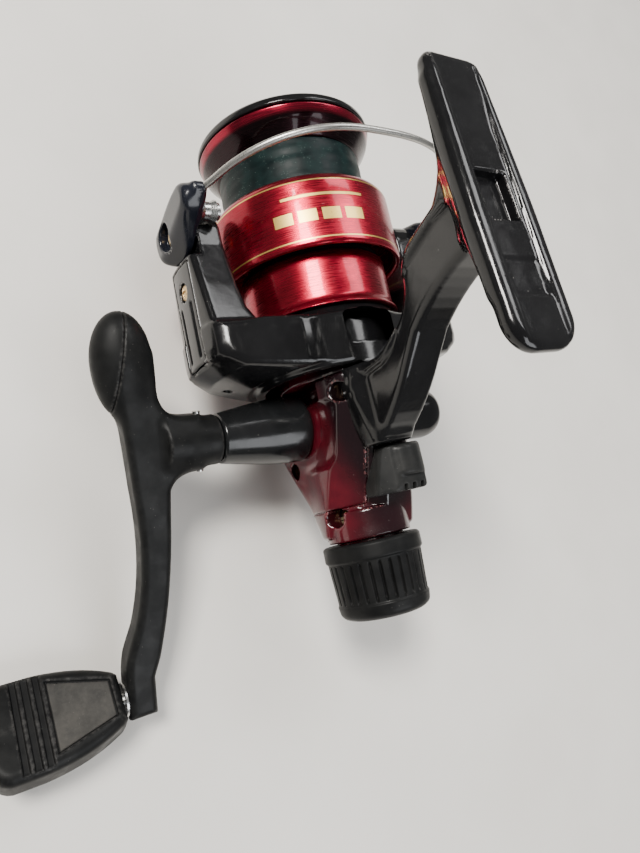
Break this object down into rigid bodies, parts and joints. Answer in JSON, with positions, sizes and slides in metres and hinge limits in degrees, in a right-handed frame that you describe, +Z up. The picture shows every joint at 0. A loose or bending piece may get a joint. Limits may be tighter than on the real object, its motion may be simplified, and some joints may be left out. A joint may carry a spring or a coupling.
{
  "type": "spinning reel",
  "caption": "Small rear-drag spinning reel: rod foot and stem, geared body, rotor with bail wire and line roller, wound spool, and cranked handle with a paddle knob.",
  "frame": {"origin": "centre of the seating face on top of the rod foot", "axes": "+X forward along the spool shaft towards the rod tip, +Y towards the handle side, +Z up towards the rod"},
  "size_m": [0.1283, 0.1126, 0.0895],
  "materials": {
    "gloss_black": "gloss",
    "satin_black": "satin",
    "dark_satin": "satin",
    "burgundy": "gloss",
    "metallic_red": "metallic gloss",
    "brushed_steel": "brushed",
    "bright_steel": "polished",
    "brass": "machined",
    "bronze": "sintered",
    "line": "satin",
    "fibre": "matte"
  },
  "bodies": {
    "root": {"stem_and_foot": "gloss_black", "gear_housing": "burgundy", "side_cover": "burgundy", "cover_screws": "brass", "left_bush": "bronze", "right_bush": "bronze", "pinion_bearing": "bright_steel", "bearing_retainer": "brushed_steel", "retainer_screws": "brushed_steel", "slider_guide_rod": "brushed_steel", "crosswind_axle": "brushed_steel", "drag_knob_clip": "brushed_steel", "drag_spring": "brushed_steel"},
    "handle": {"drive_gear": "brass", "handle_shaft": "brushed_steel", "crosswind_drive_gear": "brass", "handle_collar": "gloss_black", "handle_arm": "satin_black", "handle_cross_pin": "satin_black", "handle_counterweight": "satin_black", "handle_screw_cap": "gloss_black", "knob_spindle": "brushed_steel", "knob_washer": "brushed_steel"},
    "knob": {"handle_knob": "dark_satin", "knob_end_cap": "dark_satin"},
    "crosswind": {"crosswind_gear": "brass"},
    "slider": {"crosswind_slider": "brushed_steel", "slider_clips": "brushed_steel"},
    "spool": {"main_shaft": "bright_steel", "spool": "metallic_red", "spool_line": "line", "spool_lip_trim": "gloss_black", "spool_washer": "brushed_steel", "spool_click_gear": "dark_satin"},
    "button": {"spool_button": "gloss_black"},
    "rotor": {"rotor": "gloss_black", "rotor_drum_sleeve": "metallic_red", "pinion_gear": "brass", "rotor_nut": "brass", "ratchet_wheel": "brushed_steel", "left_arm_cover": "gloss_black", "right_arm_cover": "gloss_black", "arm_cover_screws": "brass", "bail_pivot_screws": "brass", "balance_weight": "brushed_steel", "bail_spring": "bright_steel"},
    "trip": {"bail_trip_lever": "brushed_steel"},
    "bail": {"bail_arm": "gloss_black", "bail_wire": "brushed_steel", "bail_holder": "gloss_black", "roller_screw": "brushed_steel"},
    "roller": {"line_roller": "bright_steel"},
    "anti_reverse": {"anti_reverse_lever": "satin_black", "anti_reverse_shaft": "brushed_steel", "anti_reverse_pawl": "brushed_steel"},
    "drag_knob": {"drag_knob": "satin_black"},
    "drag_nut": {"drag_nut": "brass"},
    "sleeve": {"drag_sleeve": "bronze", "drag_washers": "fibre"}
  },
  "joints": [
    {"name": "handle_spin", "type": "hinge", "parent": "root", "child": "handle", "pos_m": [-0.0231, 0.02, -0.0624], "axis": [0, 1, 0], "continuous": true},
    {"name": "rotor_spin", "type": "hinge", "parent": "root", "child": "rotor", "pos_m": [-0.008, 0, -0.0574], "axis": [1, 0, 0], "continuous": true},
    {"name": "crosswind_spin", "type": "hinge", "parent": "root", "child": "crosswind", "pos_m": [-0.0329, -0.004, -0.0624], "axis": [0, 1, 0], "continuous": true},
    {"name": "knob_spin", "type": "hinge", "parent": "handle", "child": "knob", "pos_m": [-0.07113, 0.06, -0.07894], "axis": [0, 1, 0], "continuous": true},
    {"name": "spool_stroke", "type": "slide", "parent": "root", "child": "slider", "axis": [1, 0, 0], "range_m": [-0.009, 0]},
    {"name": "drag_slip", "type": "hinge", "parent": "slider", "child": "spool", "pos_m": [0.026, 0, -0.0574], "axis": [1, 0, 0], "continuous": true},
    {"name": "sleeve_turn", "type": "hinge", "parent": "root", "child": "sleeve", "pos_m": [-0.052, 0, -0.0574], "axis": [1, 0, 0], "continuous": true},
    {"name": "spool_release", "type": "slide", "parent": "spool", "child": "button", "axis": [1, 0, 0], "range_m": [-0.0015, 0], "stiffness_N_per_m": 600, "springref_m": 0.0005},
    {"name": "bail_swing", "type": "hinge", "parent": "rotor", "child": "bail", "pos_m": [0.02, 0, -0.0574], "axis": [0, 1, 0], "range_deg": [0, 118], "deforming": ["bail_spring"]},
    {"name": "bail_trip", "type": "hinge", "parent": "rotor", "child": "trip", "pos_m": [-0.0064, 0.0295, -0.0574], "axis": [0, 1, 0], "range_deg": [-12, 0]},
    {"name": "roller_spin", "type": "hinge", "parent": "bail", "child": "roller", "pos_m": [0.02203, 0.0276, -0.04925], "axis": [0, 1, 0], "continuous": true},
    {"name": "anti_reverse_switch", "type": "hinge", "parent": "root", "child": "anti_reverse", "pos_m": [-0.024, -0.003, -0.0472], "axis": [1, 0, 0], "range_deg": [0, 12]},
    {"name": "drag_turn", "type": "hinge", "parent": "root", "child": "drag_knob", "pos_m": [-0.059, 0, -0.0574], "axis": [1, 0, 0], "range_deg": [-180, 180]},
    {"name": "drag_press", "type": "slide", "parent": "root", "child": "drag_nut", "axis": [1, 0, 0], "range_m": [-0.0005, 0.0005], "deforming": ["drag_spring"]}
  ],
  "couplings": [
    {"joint": "rotor_spin", "follows": "handle_spin", "ratio": -5.1},
    {"joint": "crosswind_spin", "follows": "handle_spin", "ratio": -0.55556},
    {"joint": "sleeve_turn", "follows": "drag_slip", "ratio": 1},
    {"joint": "bail_trip", "follows": "bail_swing", "ratio": -0.1},
    {"joint": "drag_press", "follows": "drag_turn", "m_per_rad": 0.00015915}
  ]
}
